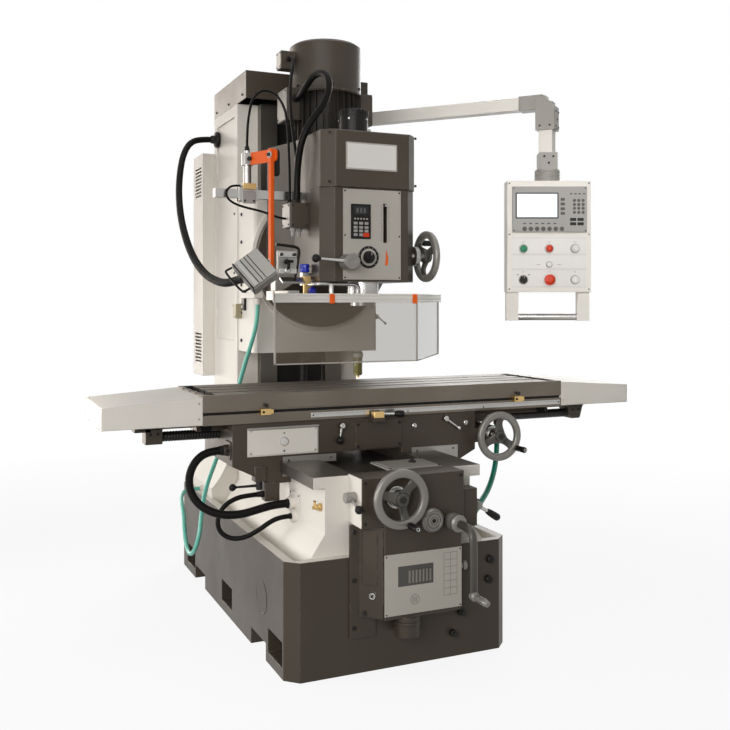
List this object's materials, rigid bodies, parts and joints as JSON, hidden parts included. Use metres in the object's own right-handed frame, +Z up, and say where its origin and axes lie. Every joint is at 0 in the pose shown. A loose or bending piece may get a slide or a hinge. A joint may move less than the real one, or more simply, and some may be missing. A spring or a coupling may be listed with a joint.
{
  "type": "milling machine",
  "caption": "Bed-type vertical milling machine with swivelling head, quill, cross saddle, long tee-slot table, hand wheels, swing guard, lamp and hung readout pendant.",
  "frame": {"origin": "middle of the base casting's footprint, on the floor", "axes": "+X to the operator's right along the table, +Y away from the operator, +Z up"},
  "size_m": [2.036, 1.812, 2.118],
  "materials": {
    "dark_paint": "satin",
    "white_paint": "satin",
    "cream_paint": "satin",
    "light_grey_paint": "satin",
    "orange_paint": "satin",
    "ground_steel": "ground",
    "bright_steel": "turned",
    "black_steel": "blackened",
    "brass": "machined",
    "lamp_aluminium": "cast",
    "black_plastic": "matte",
    "grey_plastic": "matte",
    "panel_plastic": "matte",
    "green_plastic": "gloss",
    "red_plastic": "gloss",
    "blue_plastic": "gloss",
    "clear_pane": "clear",
    "oil_bowl": "clear",
    "black_rubber": "ribbed",
    "teal_rubber": "smooth",
    "green_rubber": "smooth"
  },
  "bodies": {
    "machine_base": {"base": "dark_paint", "bed": "white_paint", "column": "white_paint", "column_cap": "dark_paint", "z_screw": "bright_steel", "electric_cabinet": "white_paint", "feed_box": "dark_paint", "lamp_arm": "black_rubber", "lamp_head": "lamp_aluminium", "pendant_bracket": "cream_paint", "saddle_conduit": "black_rubber", "saddle_cable": "black_rubber", "coolant_hose": "teal_rubber", "drain_hose": "green_rubber"},
    "cabinet_door": {"cabinet_door": "white_paint"},
    "y_handwheel": {"y_handwheel": "light_grey_paint"},
    "feed_dial": {"feed_dial": "light_grey_paint"},
    "z_crank": {"z_crank": "light_grey_paint"},
    "bed_lever": {"bed_lever": "light_grey_paint"},
    "side_lever": {"side_lever": "black_plastic"},
    "saddle": {"saddle": "dark_paint", "saddle_covers": "white_paint"},
    "x_handwheel": {"x_handwheel": "light_grey_paint"},
    "x_lock_lever": {"x_lock_lever": "bright_steel"},
    "saddle_lock_lever": {"saddle_lock_lever": "bright_steel"},
    "saddle_clamp_lever": {"saddle_clamp_lever": "black_steel"},
    "feed_lever": {"feed_lever": "brass"},
    "table": {"table": "ground_steel", "table_covers": "white_paint", "x_screw": "black_steel", "screw_brackets": "black_steel", "trip_dogs": "brass"},
    "head_slide": {"head_slide": "white_paint", "oil_bottle": "oil_bowl"},
    "head": {"head_housing": "dark_paint", "head_cover": "dark_paint", "control_panel": "panel_plastic", "spindle_motor": "dark_paint", "drawbar_cap": "black_plastic", "junction_box": "light_grey_paint", "coolant_valve": "brass", "guard_bar": "bright_steel", "motor_conduit": "black_rubber", "switch_cable": "black_rubber"},
    "valve_handle": {"valve_handle": "blue_plastic"},
    "quill": {"quill": "bright_steel"},
    "spindle": {"spindle": "bright_steel"},
    "quill_lever": {"quill_lever": "light_grey_paint"},
    "head_handwheel": {"head_handwheel": "light_grey_paint"},
    "speed_knob": {"speed_knob": "black_plastic"},
    "guard": {"guard_arm": "orange_paint", "guard_rail": "light_grey_paint", "guard_panes": "clear_pane"},
    "pendant_arm": {"pendant_arm": "cream_paint"},
    "pendant": {"pendant_case": "cream_paint", "readout": "grey_plastic"},
    "start_button": {"start_button": "green_plastic"},
    "stop_button": {"stop_button": "red_plastic"},
    "estop_button": {"estop_button": "red_plastic"},
    "selector_knob": {"selector_knob": "black_plastic"}
  },
  "joints": [
    {"name": "saddle_slide", "type": "slide", "parent": "machine_base", "child": "saddle", "axis": [0, 1, 0], "range_m": [-0.3, 0.04], "deforming": ["saddle_conduit", "saddle_cable", "drain_hose"]},
    {"name": "table_slide", "type": "slide", "parent": "saddle", "child": "table", "axis": [1, 0, 0], "range_m": [-0.52, 0.19]},
    {"name": "head_lift", "type": "slide", "parent": "machine_base", "child": "head_slide", "axis": [0, 0, 1], "range_m": [-0.015, 0.39], "deforming": ["coolant_hose"]},
    {"name": "head_tilt", "type": "hinge", "parent": "head_slide", "child": "head", "pos_m": [0, 0.0642, 1.304], "axis": [0, 1, 0], "range_deg": [-7, 15]},
    {"name": "quill_feed", "type": "slide", "parent": "head", "child": "quill", "axis": [0, 0, -1], "range_m": [0, 0.12]},
    {"name": "spindle_turn", "type": "hinge", "parent": "quill", "child": "spindle", "pos_m": [0, -0.3598, 1.2], "axis": [0, 0, 1], "continuous": true},
    {"name": "quill_lever_turn", "type": "hinge", "parent": "head", "child": "quill_lever", "pos_m": [-0.098, -0.444, 1.277], "axis": [0, -1, 0], "range_deg": [0, 270]},
    {"name": "head_wheel_turn", "type": "hinge", "parent": "head", "child": "head_handwheel", "pos_m": [0.176, -0.3938, 1.304], "axis": [1, 0, 0], "continuous": true},
    {"name": "speed_knob_turn", "type": "hinge", "parent": "head", "child": "speed_knob", "pos_m": [-0.014, -0.444, 1.295], "axis": [0, -1, 0], "range_deg": [-135, 135]},
    {"name": "valve_turn", "type": "hinge", "parent": "head", "child": "valve_handle", "pos_m": [-0.198, -0.3148, 1.244], "axis": [0, 0, 1], "range_deg": [0, 90]},
    {"name": "guard_swing", "type": "hinge", "parent": "head", "child": "guard", "pos_m": [-0.368, -0.1998, 1.63], "axis": [0, 0, 1], "range_deg": [-95, 0]},
    {"name": "pendant_arm_swing", "type": "hinge", "parent": "machine_base", "child": "pendant_arm", "pos_m": [0.33, 0.4, 1.938], "axis": [0, 0, 1], "range_deg": [-20, 95]},
    {"name": "pendant_turn", "type": "hinge", "parent": "pendant_arm", "child": "pendant", "pos_m": [0.863, -0.228, 1.7], "axis": [0, 0, 1], "range_deg": [-90, 90]},
    {"name": "start_press", "type": "slide", "parent": "pendant", "child": "start_button", "axis": [0.4051, 0.9143, 0], "range_m": [0, 0.004], "stiffness_N_per_m": 200},
    {"name": "stop_press", "type": "slide", "parent": "pendant", "child": "stop_button", "axis": [0.4051, 0.9143, 0], "range_m": [0, 0.004], "stiffness_N_per_m": 200},
    {"name": "estop_press", "type": "slide", "parent": "pendant", "child": "estop_button", "axis": [0.4051, 0.9143, 0], "range_m": [0, 0.004], "stiffness_N_per_m": 300},
    {"name": "selector_turn", "type": "hinge", "parent": "pendant", "child": "selector_knob", "pos_m": [0.75354, -0.22325, 1.23], "axis": [-0.4051, -0.9143, 0], "range_deg": [-45, 45]},
    {"name": "y_wheel_turn", "type": "hinge", "parent": "machine_base", "child": "y_handwheel", "pos_m": [-0.066, -0.7555, 0.55], "axis": [0, -1, 0], "continuous": true},
    {"name": "feed_dial_turn", "type": "hinge", "parent": "machine_base", "child": "feed_dial", "pos_m": [0.052, -0.7555, 0.471], "axis": [0, -1, 0], "continuous": true},
    {"name": "z_crank_turn", "type": "hinge", "parent": "machine_base", "child": "z_crank", "pos_m": [0.131, -0.7555, 0.458], "axis": [0, -1, 0], "continuous": true},
    {"name": "bed_lever_turn", "type": "hinge", "parent": "machine_base", "child": "bed_lever", "pos_m": [-0.178, -0.7105, 0.549], "axis": [-1, 0, 0], "range_deg": [-35, 35]},
    {"name": "side_lever_turn", "type": "hinge", "parent": "machine_base", "child": "side_lever", "pos_m": [0.248, -0.7035, 0.488], "axis": [0, -1, 0], "range_deg": [-40, 40]},
    {"name": "x_wheel_turn", "type": "hinge", "parent": "saddle", "child": "x_handwheel", "pos_m": [0.531, -0.345, 0.65], "axis": [0, -1, 0], "continuous": true},
    {"name": "x_lock_turn", "type": "hinge", "parent": "saddle", "child": "x_lock_lever", "pos_m": [-0.079, -0.345, 0.718], "axis": [0, -1, 0], "range_deg": [-45, 45]},
    {"name": "saddle_lock_turn", "type": "hinge", "parent": "saddle", "child": "saddle_lock_lever", "pos_m": [0.33, -0.345, 0.721], "axis": [0, -1, 0], "range_deg": [-60, 25]},
    {"name": "saddle_clamp_turn", "type": "hinge", "parent": "saddle", "child": "saddle_clamp_lever", "pos_m": [-0.365, -0.33, 0.545], "axis": [0, 0, -1], "range_deg": [-40, 40]},
    {"name": "feed_lever_turn", "type": "hinge", "parent": "saddle", "child": "feed_lever", "pos_m": [0.05, -0.369, 0.741], "axis": [0, 0, 1], "range_deg": [-25, 12]},
    {"name": "cabinet_door_hinge", "type": "hinge", "parent": "machine_base", "child": "cabinet_door", "pos_m": [0.316, 0.8335, 1.305], "axis": [0, 0, -1], "range_deg": [0, 110]}
  ],
  "couplings": [
    {"joint": "quill_lever_turn", "follows": "quill_feed", "rad_per_m": 39.2}
  ]
}
